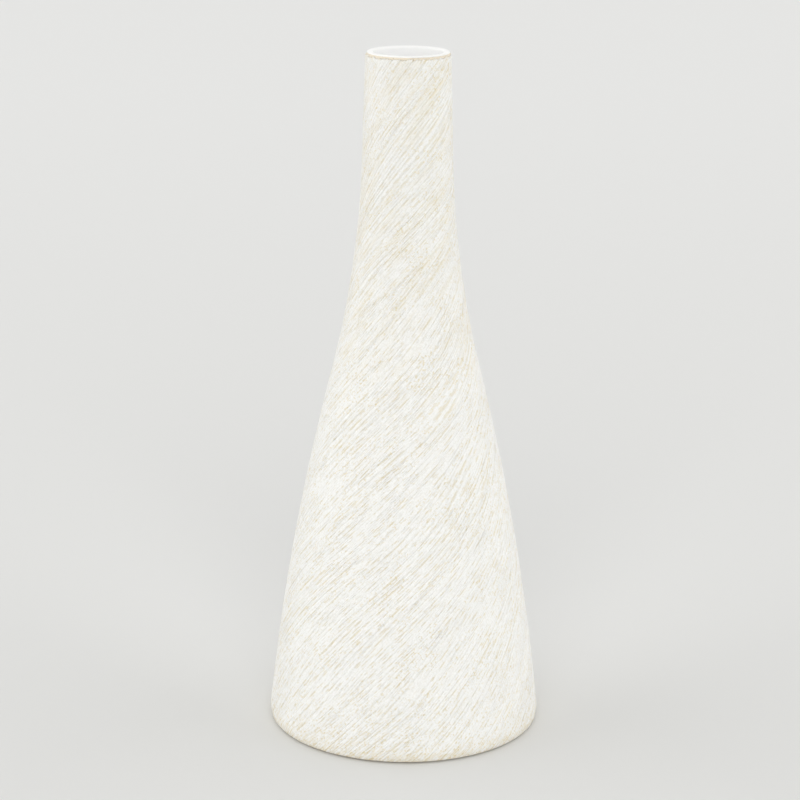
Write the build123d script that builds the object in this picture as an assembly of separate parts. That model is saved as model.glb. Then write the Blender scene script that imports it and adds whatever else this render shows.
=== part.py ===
from build123d import *

import os
from math import atan, cos, degrees, radians, sin, sqrt, tan

# Tall bottle vase of buff stoneware. A narrow neck flares down into a full foot, the outside
# is combed white slip, the inside and the crown of the lip are glazed, and four felt pads in
# the hollow foot carry it. The Z axis is the axis of turning, and Z = 0 is the table.

# Driving dimensions, in millimetres and degrees
overall_height = 460.0  # table to the crown of the lip
mouth_radius = 28.0  # finished outside of the neck, carried up to the crown
neck_length = 71.0  # straight neck, measured down from the crown
neck_taper = 1.6  # lean of the neck, narrowing towards the mouth
shoulder_height = 247.0  # where the hollow flare turns into the full belly
foot_radius = 92.5  # finished outside, where the wall meets the heel
foot_lean = 5.8  # lean of the wall just above the heel

# Layers of the wall
clay_wall = 4.5
clay_floor = 8.0
coat_thickness = 0.8
glaze_thickness = 0.5

# Lip
lip_round = 1.0  # both edges of the clay lip
mouth_land = 15.0  # straight bore at the mouth, measured down from the clay lip
glaze_edge = 45.0  # how far over the outer lip round the glaze runs, as a direction
bare_band = 1.0  # clay left bare between the lip round and the coat
coat_feather = 1.5  # length over which the coat thins out at its two edges

# Foot
heel_radius = 4.0
ring_width = 11.0  # flat of the foot ring
ring_bevel = 1.0  # inner edge of the foot ring
recess_depth = 2.0  # hollow inside the foot ring
floor_round = 12.0  # inside corner between the floor and the wall

# Felt pads
pad_count = 4
pad_radius = 10.0
pad_thickness = 3.0
pad_edge = 0.4  # bevel round the worn face of a pad
pad_margin = 5.0  # from a pad to the wall of the recess
pad_first_angle = 45.0

# Heights that follow
recess_top = pad_thickness
ring_bottom = recess_top - recess_depth
inner_floor = recess_top + clay_floor
clay_top = overall_height - glaze_thickness
clay_inset = coat_thickness + clay_wall
foot_end = ring_bottom + heel_radius * (1 + sin(radians(foot_lean)))
foot_end += coat_thickness * sin(radians(foot_lean))

# The finished outside is a straight neck, a hollow flare and a full belly that run into one
# another. Both arcs share the lean of the wall at the shoulder, which sets their radii.
neck_end = overall_height - neck_length
neck_end_radius = mouth_radius + neck_length * tan(radians(neck_taper))
flare_drop = neck_end - shoulder_height
belly_drop = shoulder_height - foot_end
spread = foot_radius - neck_end_radius
neck_half = tan(radians(neck_taper) / 2)
foot_half = tan(radians(foot_lean) / 2)
square_term = -(flare_drop * foot_half + belly_drop * neck_half + spread * neck_half * foot_half)
plain_term = (flare_drop + belly_drop) * (1 - neck_half * foot_half)
plain_term += spread * (neck_half + foot_half)
free_term = flare_drop * neck_half + belly_drop * foot_half - spread
root_term = sqrt(plain_term**2 - 4 * square_term * free_term)
shoulder_lean = degrees(2 * atan(-2 * free_term / (plain_term + root_term)))


def arc_radius(drop, lean):
    """Radius of the arc that falls by a drop and turns from a lean to the shoulder's lean."""
    half_turn = radians(shoulder_lean - lean) / 2
    chord = drop / cos(radians(shoulder_lean + lean) / 2)
    return chord / (2 * sin(half_turn))


def toward(center, radius, direction):
    """Point at a radius from a center, in a direction in degrees from outwards."""
    angle = radians(direction)
    return (center[0] + radius * cos(angle), center[1] + radius * sin(angle))


def arc(center, radius, start, end):
    """Arc about a center from one direction to another."""
    return CenterArc(center, radius, start, end - start)


flare_radius = arc_radius(flare_drop, neck_taper)
belly_radius = arc_radius(belly_drop, foot_lean)
flare_center = toward((neck_end_radius, neck_end), flare_radius, neck_taper)
belly_center = toward((foot_radius, foot_end), -belly_radius, foot_lean)


def neck_radius(inset, height):
    """Radius of the straight neck at a height, a depth inside the finished outside."""
    lean = radians(neck_taper)
    return mouth_radius + (overall_height - height) * tan(lean) - inset / cos(lean)


def neck_height(inset, radius):
    """Height at which the straight neck has a radius, a depth inside the finished outside."""
    lean = radians(neck_taper)
    return overall_height - (radius - mouth_radius + inset / cos(lean)) / tan(lean)


def wall_line(inset, top, lowest_direction):
    """Neck, flare and belly, a depth inside the finished outside, from a height down."""
    neck_foot = toward(flare_center, -(flare_radius + inset), neck_taper)
    return [
        Line((neck_radius(inset, top), top), neck_foot),
        arc(flare_center, flare_radius + inset, 180 + neck_taper, 180 + shoulder_lean),
        arc(belly_center, belly_radius - inset, lowest_direction, shoulder_lean),
    ]


# Corners that two layers share
heel_center = toward((foot_radius, foot_end), -(coat_thickness + heel_radius), foot_lean)
recess_radius = heel_center[0] - ring_width
land_bottom = clay_top - mouth_land
land_radius = neck_radius(clay_inset, land_bottom)
lip_center_height = clay_top - lip_round
lip_outer_center = (neck_radius(coat_thickness + lip_round, lip_center_height), lip_center_height)
lip_inner_center = (land_radius + lip_round, lip_center_height)
lip_foot = toward(lip_outer_center, lip_round, neck_taper)[1]
coat_top = lip_foot - bare_band

floor_round_height = inner_floor + floor_round
floor_reach = belly_radius - clay_inset - floor_round
floor_rise = floor_round_height - belly_center[1]
floor_center = (belly_center[0] + sqrt(floor_reach**2 - floor_rise**2), floor_round_height)
floor_direction = degrees(atan(floor_rise / (floor_center[0] - belly_center[0])))


def cavity_line(depth):
    """Inside of the vase from the axis up to the crown, a depth of glaze over the clay."""
    inset = clay_inset + depth
    floor_height = inner_floor + depth
    crown_height = clay_top + depth
    bore_radius = land_radius - depth
    bore_foot = neck_height(inset, bore_radius)
    return [
        Line((0, floor_height), (floor_center[0], floor_height)),
        arc(floor_center, floor_round - depth, -90, floor_direction),
        *wall_line(inset, bore_foot, floor_direction),
        Line((bore_radius, bore_foot), (bore_radius, lip_inner_center[1])),
        arc(lip_inner_center, lip_round + depth, 180, 90),
        Line((lip_inner_center[0], crown_height), (lip_outer_center[0], crown_height)),
    ]


def turned(outline):
    """Solid turned about the Z axis from an outline of radius and height."""
    section = make_face(outline)
    return revolve(Plane.XZ * section, Axis.Z)


def clay_body():
    """Stoneware wall and floor with a rounded lip, a foot ring and a hollow under the floor."""
    bevel_top = (recess_radius, ring_bottom + ring_bevel)
    bevel_foot = (recess_radius + ring_bevel, ring_bottom)
    outline = [
        Line((0, recess_top), (recess_radius, recess_top)),
        Line((recess_radius, recess_top), bevel_top),
        Line(bevel_top, bevel_foot),
        Line(bevel_foot, (heel_center[0], ring_bottom)),
        arc(heel_center, heel_radius, -90, foot_lean),
        *wall_line(coat_thickness, lip_foot, foot_lean),
        arc(lip_outer_center, lip_round, neck_taper, 90),
        *cavity_line(0),
        Line((0, inner_floor), (0, recess_top)),
    ]
    return turned(outline)


def combed_slip_coat():
    """White slip over the outside, from the heel to the lip, thinned out at both edges."""
    thinned_direction = foot_lean + degrees(coat_feather / belly_radius)
    thinned_top = coat_top - coat_feather
    outline = [
        *wall_line(0, thinned_top, thinned_direction),
        *wall_line(coat_thickness, coat_top, foot_lean),
        Line(
            toward(belly_center, belly_radius, thinned_direction),
            toward(belly_center, belly_radius - coat_thickness, foot_lean),
        ),
        Line(
            (neck_radius(0, thinned_top), thinned_top),
            (neck_radius(coat_thickness, coat_top), coat_top),
        ),
    ]
    return turned(outline)


def liner_glaze():
    """White glaze over the floor, the inner wall and the crown of the lip."""
    crown_edge = (lip_outer_center[0], overall_height)
    outline = [
        *cavity_line(0),
        *cavity_line(glaze_thickness),
        arc(lip_outer_center, lip_round, 90, glaze_edge),
        TangentArc(crown_edge, toward(lip_outer_center, lip_round, glaze_edge), tangent=(1, 0)),
        Line((0, inner_floor), (0, inner_floor + glaze_thickness)),
    ]
    return turned(outline)


def foot_pad(number):
    """Felt disc on the ceiling of the recess, with a bevel round the face it stands on."""
    circle_radius = recess_radius - pad_margin - pad_radius
    direction = pad_first_angle + number * 360 / pad_count
    disc = extrude(Circle(pad_radius), pad_thickness)
    disc = chamfer(disc.edges().sort_by(Axis.Z)[0], pad_edge)
    return Pos(*toward((0, 0), circle_radius, direction), 0) * disc


os.makedirs("parts", exist_ok=True)
export_step(clay_body(), "parts/clay_body.step")
export_step(combed_slip_coat(), "parts/combed_slip_coat.step")
export_step(liner_glaze(), "parts/liner_glaze.step")
for number in range(pad_count):
    export_step(foot_pad(number), f"parts/foot_pad_{number + 1}.step")
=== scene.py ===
import logging
import math
from dataclasses import dataclass, field
from enum import Enum
from typing import NamedTuple, Sequence, Union

import bpy
import numpy as np
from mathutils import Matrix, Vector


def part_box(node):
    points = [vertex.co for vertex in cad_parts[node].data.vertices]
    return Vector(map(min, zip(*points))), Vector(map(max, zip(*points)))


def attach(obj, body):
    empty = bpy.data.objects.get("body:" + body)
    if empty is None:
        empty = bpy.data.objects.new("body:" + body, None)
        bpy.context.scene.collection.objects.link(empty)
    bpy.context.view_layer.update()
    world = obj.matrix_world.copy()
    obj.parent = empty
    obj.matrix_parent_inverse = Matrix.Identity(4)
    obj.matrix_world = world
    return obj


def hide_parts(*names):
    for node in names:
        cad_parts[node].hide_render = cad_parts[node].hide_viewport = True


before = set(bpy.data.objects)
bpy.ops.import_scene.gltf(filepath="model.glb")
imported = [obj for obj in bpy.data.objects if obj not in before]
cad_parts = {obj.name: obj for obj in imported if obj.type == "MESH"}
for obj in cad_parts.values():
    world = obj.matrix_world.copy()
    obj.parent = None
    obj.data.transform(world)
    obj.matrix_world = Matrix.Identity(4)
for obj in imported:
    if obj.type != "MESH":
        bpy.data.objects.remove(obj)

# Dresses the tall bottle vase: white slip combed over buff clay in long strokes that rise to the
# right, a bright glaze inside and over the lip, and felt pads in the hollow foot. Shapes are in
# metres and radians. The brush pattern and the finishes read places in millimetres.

log = logging.getLogger("vase")

MM = 0.001
TRACK_ATTRIBUTE = "brush_track"
SEAM_GAP = 0.002 * MM

Socket = bpy.types.NodeSocket
Amount = Union[float, Socket]
Color = tuple[float, float, float, float]
Range = tuple[float, float]


class Slot(Enum):
    """Names of two material slots, for the slip and the felt."""

    SLIP = "slip"
    FELT = "felt"


class NodeSheet:
    """Adds wired nodes to one node tree, of a shape or of a material."""

    def __init__(self, tree: bpy.types.NodeTree) -> None:
        """Keeps the tree that the nodes go into."""
        self.tree = tree

    def add(self, kind: str, **settings: object) -> bpy.types.Node:
        """Adds a node.

        Args:
            kind: Blender's name of the node type.
            settings: properties to set on the node.

        Returns:
            The new node.
        """
        node = self.tree.nodes.new(kind)
        for name, value in settings.items():
            setattr(node, name, value)
        return node

    def feed(self, socket: Socket, amount: object) -> None:
        """Links a socket to another, or sets its own value.

        Args:
            socket: socket that takes the amount.
            amount: another socket, or a value.
        """
        if isinstance(amount, bpy.types.NodeSocket):
            self.tree.links.new(amount, socket)
        else:
            socket.default_value = amount

    def math(self, operation: str, *amounts: Amount) -> Socket:
        """Adds a math node.

        Args:
            operation: Blender's name of the operation.
            amounts: what goes into it.

        Returns:
            The result's socket.
        """
        node = self.add("ShaderNodeMath", operation=operation)
        for socket, amount in zip(node.inputs, amounts):
            self.feed(socket, amount)
        return node.outputs[0]

    def chain(self, operation: str, amounts: Sequence[Amount]) -> Socket:
        """Takes in amounts one after another.

        Args:
            operation: Blender's name of the operation.
            amounts: two or more amounts.

        Returns:
            The result's socket.
        """
        result = amounts[0]
        for amount in amounts[1:]:
            result = self.math(operation, result, amount)
        return result

    def total(self, *amounts: Amount) -> Socket:
        """Adds up the amounts and returns the sum's socket."""
        return self.chain("ADD", amounts)

    def minus(self, *amounts: Amount) -> Socket:
        """Takes the later amounts from the first and returns the difference's socket."""
        return self.chain("SUBTRACT", amounts)

    def product(self, *amounts: Amount) -> Socket:
        """Multiplies the amounts and returns the product's socket."""
        return self.chain("MULTIPLY", amounts)

    def most(self, *amounts: Amount) -> Socket:
        """Finds the largest of the amounts and returns its socket."""
        return self.chain("MAXIMUM", amounts)

    def limit(self, amount: Amount) -> Socket:
        """Keeps an amount between 0 and 1.

        Args:
            amount: what is kept in bounds.

        Returns:
            The result's socket.
        """
        node = self.add("ShaderNodeClamp")
        self.feed(node.inputs[0], amount)
        return node.outputs[0]

    def ease(
        self, amount: Amount, start: Amount, end: Amount, low: Amount = 0.0, high: Amount = 1.0
    ) -> Socket:
        """Eases from one value to another as an amount goes from a start to an end.

        Args:
            amount: what is followed.
            start: amount at which the result is low.
            end: amount at which the result is high, which may be less than the start.
            low: result at the start.
            high: result at the end.

        Returns:
            The result's socket.
        """
        node = self.add("ShaderNodeMapRange", interpolation_type="SMOOTHSTEP")
        for socket, value in zip(node.inputs, (amount, start, end, 0.0, 1.0)):
            self.feed(socket, value)
        eased = node.outputs[0]
        if (low, high) == (0.0, 1.0):
            return eased
        span = self.minus(high, low)
        return self.math("MULTIPLY_ADD", eased, span, low)

    def polynomial(self, amount: Socket, factors: Sequence[float]) -> Socket:
        """Works out a polynomial.

        Args:
            amount: its variable.
            factors: from the highest power down to the constant.

        Returns:
            The result's socket.
        """
        result: Amount = float(factors[0])
        for factor in factors[1:]:
            result = self.math("MULTIPLY_ADD", result, amount, float(factor))
        return result

    def join(self, x: Amount = 0.0, y: Amount = 0.0, z: Amount = 0.0) -> Socket:
        """Joins three amounts into a vector.

        Args:
            x: its first part.
            y: its second part.
            z: its third part.

        Returns:
            The vector's socket.
        """
        node = self.add("ShaderNodeCombineXYZ")
        for socket, amount in zip(node.inputs, (x, y, z)):
            self.feed(socket, amount)
        return node.outputs[0]

    def split(self, vector: Socket) -> tuple[Socket, Socket, Socket]:
        """Splits a vector.

        Args:
            vector: what is split.

        Returns:
            The sockets of its three parts.
        """
        node = self.add("ShaderNodeSeparateXYZ")
        self.feed(node.inputs[0], vector)
        return tuple(node.outputs)

    def vector(self, operation: str, *amounts: object) -> Socket:
        """Adds a vector math node.

        Args:
            operation: Blender's name of the operation.
            amounts: what goes into it; the last is the factor where it scales.

        Returns:
            The resulting vector's socket.
        """
        node = self.add("ShaderNodeVectorMath", operation=operation)
        if operation == "SCALE":
            self.feed(node.inputs["Vector"], amounts[0])
            self.feed(node.inputs["Scale"], amounts[1])
        else:
            for socket, amount in zip(node.inputs, amounts):
                self.feed(socket, amount)
        return node.outputs[0]

    def noise(self, place: Socket, size: float, detail: float = 0.0, rough: float = 0.5) -> Socket:
        """Adds a smooth random field.

        Args:
            place: where it is read.
            size: size of its lumps, in the units of the place.
            detail: number of finer layers.
            rough: strength of each finer layer.

        Returns:
            The socket of the field, about 0.5 on average.
        """
        node = self.add("ShaderNodeTexNoise", noise_dimensions="3D")
        self.feed(node.inputs["Vector"], place)
        node.inputs["Scale"].default_value = 1.0 / size
        node.inputs["Detail"].default_value = detail
        node.inputs["Roughness"].default_value = rough
        return node.outputs[0]

    def cells(self, place: Socket, size: float, feature: str = "F1") -> bpy.types.Node:
        """Adds a field of random cells.

        Args:
            place: where it is read.
            size: size of the cells, in the units of the place.
            feature: what the node measures.

        Returns:
            The node, whose outputs give the cell.
        """
        node = self.add("ShaderNodeTexVoronoi", voronoi_dimensions="3D", feature=feature)
        self.feed(node.inputs["Vector"], place)
        node.inputs["Scale"].default_value = 1.0 / size
        return node

    def blend(self, share: Amount, first: object, second: object) -> Socket:
        """Mixes two colours.

        Args:
            share: how much of the second shows.
            first: colour at a share of 0.
            second: colour at a share of 1.

        Returns:
            The mixed colour's socket.
        """
        node = self.add("ShaderNodeMix", data_type="RGBA")
        ports = {socket.identifier: socket for socket in node.inputs}
        self.feed(ports["Factor_Float"], share)
        self.feed(ports["A_Color"], first)
        self.feed(ports["B_Color"], second)
        return next(socket for socket in node.outputs if socket.identifier == "Result_Color")


@dataclass(frozen=True)
class VaseWall:
    """Finished outside of the pot: straight neck, hollow flare, full belly and round heel."""

    height: float = 460 * MM
    mouth_radius: float = 28 * MM
    neck_length: float = 71 * MM
    neck_taper: float = math.radians(1.6)
    shoulder_height: float = 247 * MM
    foot_radius: float = 92.5 * MM
    foot_lean: float = math.radians(5.8)
    heel_radius: float = 4.8 * MM
    heel_height: float = 5 * MM

    @property
    def foot_end(self) -> float:
        """Height at which the wall meets the heel."""
        return self.heel_height + self.heel_radius * math.sin(self.foot_lean)

    @property
    def neck_end(self) -> float:
        """Height at which the straight neck ends."""
        return self.height - self.neck_length

    @property
    def neck_end_radius(self) -> float:
        """Radius at the foot of the straight neck."""
        return self.mouth_radius + self.neck_length * math.tan(self.neck_taper)

    @property
    def shoulder_lean(self) -> float:
        """Works out the lean of the wall at the shoulder.

        Returns:
            The lean at which the flare and the belly run into each other.
        """
        flare_drop = self.neck_end - self.shoulder_height
        belly_drop = self.shoulder_height - self.foot_end
        spread = self.foot_radius - self.neck_end_radius
        neck_half = math.tan(self.neck_taper / 2)
        foot_half = math.tan(self.foot_lean / 2)
        square = -(flare_drop * foot_half + belly_drop * neck_half + spread * neck_half * foot_half)
        plain = (flare_drop + belly_drop) * (1 - neck_half * foot_half)
        plain += spread * (neck_half + foot_half)
        free = flare_drop * neck_half + belly_drop * foot_half - spread
        root = math.sqrt(plain**2 - 4 * square * free)
        return 2 * math.atan(-2 * free / (plain + root))

    def arc_radius(self, drop: float, lean: float) -> float:
        """Radius of the arc that falls by a drop while its lean turns to the shoulder's."""
        chord = drop / math.cos((self.shoulder_lean + lean) / 2)
        return chord / (2 * math.sin((self.shoulder_lean - lean) / 2))

    @property
    def flare_radius(self) -> float:
        """Radius of the hollow flare."""
        return self.arc_radius(self.neck_end - self.shoulder_height, self.neck_taper)

    @property
    def belly_radius(self) -> float:
        """Radius of the full belly."""
        return self.arc_radius(self.shoulder_height - self.foot_end, self.foot_lean)

    @property
    def flare_center(self) -> tuple[float, float]:
        """Finds the flare's center, outside the pot.

        Returns:
            Its radius and height.
        """
        radius, lean = self.flare_radius, self.neck_taper
        return (
            self.neck_end_radius + radius * math.cos(lean),
            self.neck_end + radius * math.sin(lean),
        )

    @property
    def belly_center(self) -> tuple[float, float]:
        """Finds the belly's center, on the far side of the axis.

        Returns:
            Its radius and height.
        """
        radius, lean = self.belly_radius, self.foot_lean
        return (
            self.foot_radius - radius * math.cos(lean),
            self.foot_end - radius * math.sin(lean),
        )

    @property
    def heel_center(self) -> tuple[float, float]:
        """Radius and height of the heel's center."""
        return (self.foot_radius - self.heel_radius * math.cos(self.foot_lean), self.heel_height)

    def radii(self, heights: np.ndarray) -> np.ndarray:
        """Radius of the wall at each of some heights.

        Args:
            heights: heights above the table.

        Returns:
            The radii.
        """
        neck = self.mouth_radius + (self.height - heights) * math.tan(self.neck_taper)
        flare_r, flare_z = self.flare_center
        flare = flare_r - np.sqrt(self.flare_radius**2 - (heights - flare_z) ** 2)
        belly_r, belly_z = self.belly_center
        belly = belly_r + np.sqrt(self.belly_radius**2 - (heights - belly_z) ** 2)
        lower = np.where(heights > self.shoulder_height, flare, belly)
        return np.where(heights > self.neck_end, neck, lower)


class TrackPlace(NamedTuple):
    """Where a point lies among the brush tracks."""

    around: Socket
    angle: Socket
    girth: Socket
    drift: Socket
    start: Socket
    crowding: Socket
    hold: Socket
    load_edge: Socket
    height: Socket


class CombMarks(NamedTuple):
    """What a set of comb lines leaves at a point, each from 0 to 1."""

    depth: Socket
    bite: Socket
    burr: Socket


@dataclass(frozen=True)
class CombLines:
    """One set of lines that the teeth of a comb leave.

    Attributes:
        pitch: distance between the teeth, in millimetres.
        half_width: half the width of a line, as a share of the pitch.
        core: half the width of its full depth, as a share of the pitch.
        jitter: how far a line may lie from its tooth's middle, as a share of the pitch.
        wander: how far the lines bend together, in pitches.
        dash: length of a dash, in millimetres up the pot.
        gaps: pressure at which a dash starts and at which it is at its deepest.
        bite: length of a streak of bare clay, in millimetres up the pot.
        bites: chance at which a streak starts and at which it is at its barest.
        seed: keeps the sets of lines apart.
    """

    pitch: float
    half_width: float
    core: float
    jitter: float
    wander: float
    dash: float
    gaps: Range
    bite: float
    bites: Range
    seed: float


@dataclass(frozen=True)
class BrushTracks:
    """Tracks that a comb leaves in wet slip, in millimetres across and along the strokes."""

    wall: VaseWall = field(default_factory=VaseWall)
    slope_heights: tuple[float, ...] = (0.0, 0.52, 0.72, 0.87, 1.0)
    slopes: tuple[float, ...] = (0.94, 0.93, 0.92, 0.86, 0.84)
    low_skew: float = -0.10
    high_skew: float = -0.30
    skew_range: Range = (0.5, 0.85)
    load_width: float = 30.0
    load_stretch: float = 3.2
    load_waver: float = 10.0
    waver_size: float = 15.0
    wander_size: float = 17.0
    load_tilt: float = 0.14
    crowding: Range = (0.82, 1.14)
    load_hold: float = 0.07
    grooves: CombLines = CombLines(
        pitch=4.3,
        half_width=0.18,
        core=0.04,
        jitter=0.8,
        wander=0.9,
        dash=7.2,
        gaps=(0.36, 0.52),
        bite=4.4,
        bites=(0.48, 0.64),
        seed=7.3,
    )
    hairs: CombLines = CombLines(
        pitch=2.2,
        half_width=0.27,
        core=0.06,
        jitter=0.8,
        wander=1.7,
        dash=3.6,
        gaps=(0.40, 0.56),
        bite=2.6,
        bites=(0.54, 0.66),
        seed=23.9,
    )
    burr_width: float = 0.13
    band_swing: float = 1.3 * MM
    band_count: float = 4.0
    number_step: float = 5.3
    start_step: float = 61.0
    fit_power: int = 5
    turn_samples: int = 2001
    radius_samples: int = 401
    neck_strength: float = 0.74
    neck_range: Range = (180.0, 340.0)

    def strength(self, sheet: NodeSheet, height: Socket) -> Socket:
        """Strength of the marks, less on the neck, where the comb is pressed more lightly."""
        return sheet.ease(height, *self.neck_range, 1.0, self.neck_strength)

    def turn_factors(self) -> np.ndarray:
        """Fits the angle that a stroke turns through on its way up.

        Returns:
            Factors of a polynomial in the share of the height.
        """
        shares = np.linspace(0.0, 1.0, self.turn_samples)
        heights = shares * self.wall.height
        radii = self.wall.radii(heights)
        run = np.sqrt(1 + np.gradient(radii, heights) ** 2)
        slope = np.interp(shares, self.slope_heights, self.slopes)
        step = slope * run / radii * (heights[1] - heights[0])
        turn = np.concatenate([[0.0], np.cumsum(step[:-1])])
        return np.polyfit(shares, turn, self.fit_power)

    def radius_factors(self) -> np.ndarray:
        """Fits the radius of the wall, in millimetres.

        Returns:
            Factors of a polynomial in the share of the height.
        """
        shares = np.linspace(0.0, 1.0, self.radius_samples)
        radii = self.wall.radii(shares * self.wall.height) / MM
        return np.polyfit(shares, radii, self.fit_power)

    def place(self, sheet: NodeSheet, track: Socket, radius: Socket, height: Socket) -> TrackPlace:
        """Finds where a point lies among the tracks.

        Args:
            sheet: tree of the coat's shape or of its finish.
            track: direction of the stroke that the point lies on, as a cosine and a sine.
            radius: distance from the axis, in millimetres.
            height: height above the table, in millimetres.

        Returns:
            The place, with the brush load that covers it.
        """
        cosine, sine, _ = sheet.split(track)
        around = sheet.join(
            sheet.product(radius, cosine),
            sheet.product(radius, sine),
            sheet.product(height, 1 / self.load_stretch),
        )
        waver = self.add_waver(sheet, around)
        load = sheet.cells(waver, self.load_width)
        edge = sheet.cells(waver, self.load_width, "DISTANCE_TO_EDGE")
        load_height = sheet.split(load.outputs["Position"])[2]
        share = sheet.product(load_height, self.load_stretch * MM / self.wall.height)
        girth = sheet.polynomial(sheet.limit(share), self.radius_factors())
        angle = sheet.math("ARCTAN2", sine, cosine)
        start, turn, close = sheet.split(load.outputs["Color"])
        widest, closest = self.crowding
        crowding = sheet.math("MULTIPLY_ADD", close, closest - widest, widest)
        hold = sheet.math("MULTIPLY_ADD", close, -2 * self.load_hold, self.load_hold)
        tilt = sheet.math("MULTIPLY_ADD", turn, 2 * self.load_tilt, -self.load_tilt)
        rise = sheet.math("MULTIPLY_ADD", load_height, -self.load_stretch, height)
        drift = sheet.product(rise, tilt)
        load_edge = edge.outputs["Distance"]
        return TrackPlace(around, angle, girth, drift, start, crowding, hold, load_edge, height)

    def add_waver(self, sheet: NodeSheet, around: Socket) -> Socket:
        """Bends the edges of the brush loads.

        Args:
            sheet: tree of the coat's shape or of its finish.
            around: place among the tracks.

        Returns:
            The place at which the loads are read.
        """
        node = sheet.add("ShaderNodeTexNoise", noise_dimensions="3D")
        sheet.feed(node.inputs["Vector"], around)
        node.inputs["Scale"].default_value = 1.0 / self.waver_size
        centered = sheet.vector("SUBTRACT", node.outputs["Color"], (0.5, 0.5, 0.5))
        return sheet.vector("ADD", around, sheet.vector("SCALE", centered, self.load_waver))

    def lines(self, sheet: NodeSheet, place: TrackPlace, comb: CombLines) -> CombMarks:
        """Draws one set of comb lines, each broken into dashes of its own.

        Args:
            sheet: tree of the coat's shape or of its finish.
            place: where the lines are read.
            comb: the set of lines.

        Returns:
            The depth of the line, where it bites through to the clay, and the burr beside it.
        """
        teeth = sheet.product(place.girth, place.crowding, math.pi / comb.pitch)
        half_count = sheet.math("ROUND", teeth)
        tooth = sheet.product(place.angle, half_count, 1 / math.pi)
        bend = sheet.minus(sheet.noise(place.around, self.wander_size, detail=1.0), 0.5)
        shift = sheet.product(place.start, comb.seed)
        drift = sheet.product(place.drift, 1 / comb.pitch)
        across = sheet.total(tooth, sheet.product(bend, comb.wander), drift, shift)
        number = sheet.math("FLOOR", across)
        line_seed = sheet.product(number, self.number_step)
        load_seed = sheet.product(place.start, self.start_step)
        chance = sheet.noise(sheet.join(line_seed, load_seed, comb.seed), 1.0)
        center = sheet.math("MULTIPLY_ADD", chance, comb.jitter, 0.5 - comb.jitter / 2)
        offset = sheet.minus(sheet.math("FRACT", across), center)
        aside = sheet.math("ABSOLUTE", offset)
        line = sheet.ease(aside, comb.half_width, comb.core)
        burr_edge = comb.half_width + self.burr_width
        thin = sheet.ease(aside, burr_edge, comb.core)
        rim = sheet.ease(aside, burr_edge + self.burr_width, burr_edge)
        burr = sheet.minus(rim, thin)
        run = sheet.product(place.height, 1 / comb.dash)
        press = sheet.noise(sheet.join(line_seed, load_seed, run), 1.0, detail=1.0)
        pressed = sheet.ease(sheet.total(press, place.hold), *comb.gaps)
        step = sheet.product(place.height, 1 / comb.bite)
        tooth_bite = sheet.noise(sheet.join(line_seed, load_seed, step), 1.0)
        depth = sheet.product(line, pressed)
        bite = sheet.product(thin, pressed, sheet.ease(tooth_bite, *comb.bites))
        return CombMarks(depth, bite, sheet.product(sheet.limit(burr), pressed))


@dataclass(frozen=True)
class Finish:
    """A finish: its name, its main colour and its roughness."""

    name: str
    color: Color
    roughness: float

    def start(self) -> tuple[bpy.types.Material, NodeSheet, bpy.types.Node]:
        """Makes the material with its constant values set.

        Returns:
            The material, a sheet for its nodes, and its shader node.
        """
        material = bpy.data.materials.new(self.name)
        material.use_nodes = True
        sheet = NodeSheet(material.node_tree)
        shader = material.node_tree.nodes["Principled BSDF"]
        shader.inputs["Base Color"].default_value = self.color
        shader.inputs["Roughness"].default_value = self.roughness
        return material, sheet, shader

    @staticmethod
    def own_place(sheet: NodeSheet) -> tuple[Socket, Socket, Socket]:
        """Reads the object's own coordinates.

        Args:
            sheet: tree of the finish.

        Returns:
            The place in millimetres, the distance from the axis and the height.
        """
        coordinates = sheet.add("ShaderNodeTexCoord").outputs["Object"]
        place = sheet.vector("SCALE", coordinates, 1 / MM)
        x, y, z = sheet.split(place)
        radius = sheet.math("SQRT", sheet.total(sheet.product(x, x), sheet.product(y, y)))
        return place, radius, z

    @staticmethod
    def raise_bump(sheet: NodeSheet, shader: bpy.types.Node, height: Socket, depth: float) -> None:
        """Raises fine relief.

        Args:
            sheet: tree of the finish.
            shader: shader that shows it.
            height: relief, from 0 to 1.
            depth: its depth, in metres.
        """
        node = sheet.add("ShaderNodeBump")
        node.inputs["Strength"].default_value = 1.0
        node.inputs["Distance"].default_value = depth
        sheet.feed(node.inputs["Height"], height)
        sheet.feed(shader.inputs["Normal"], node.outputs[0])


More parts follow.
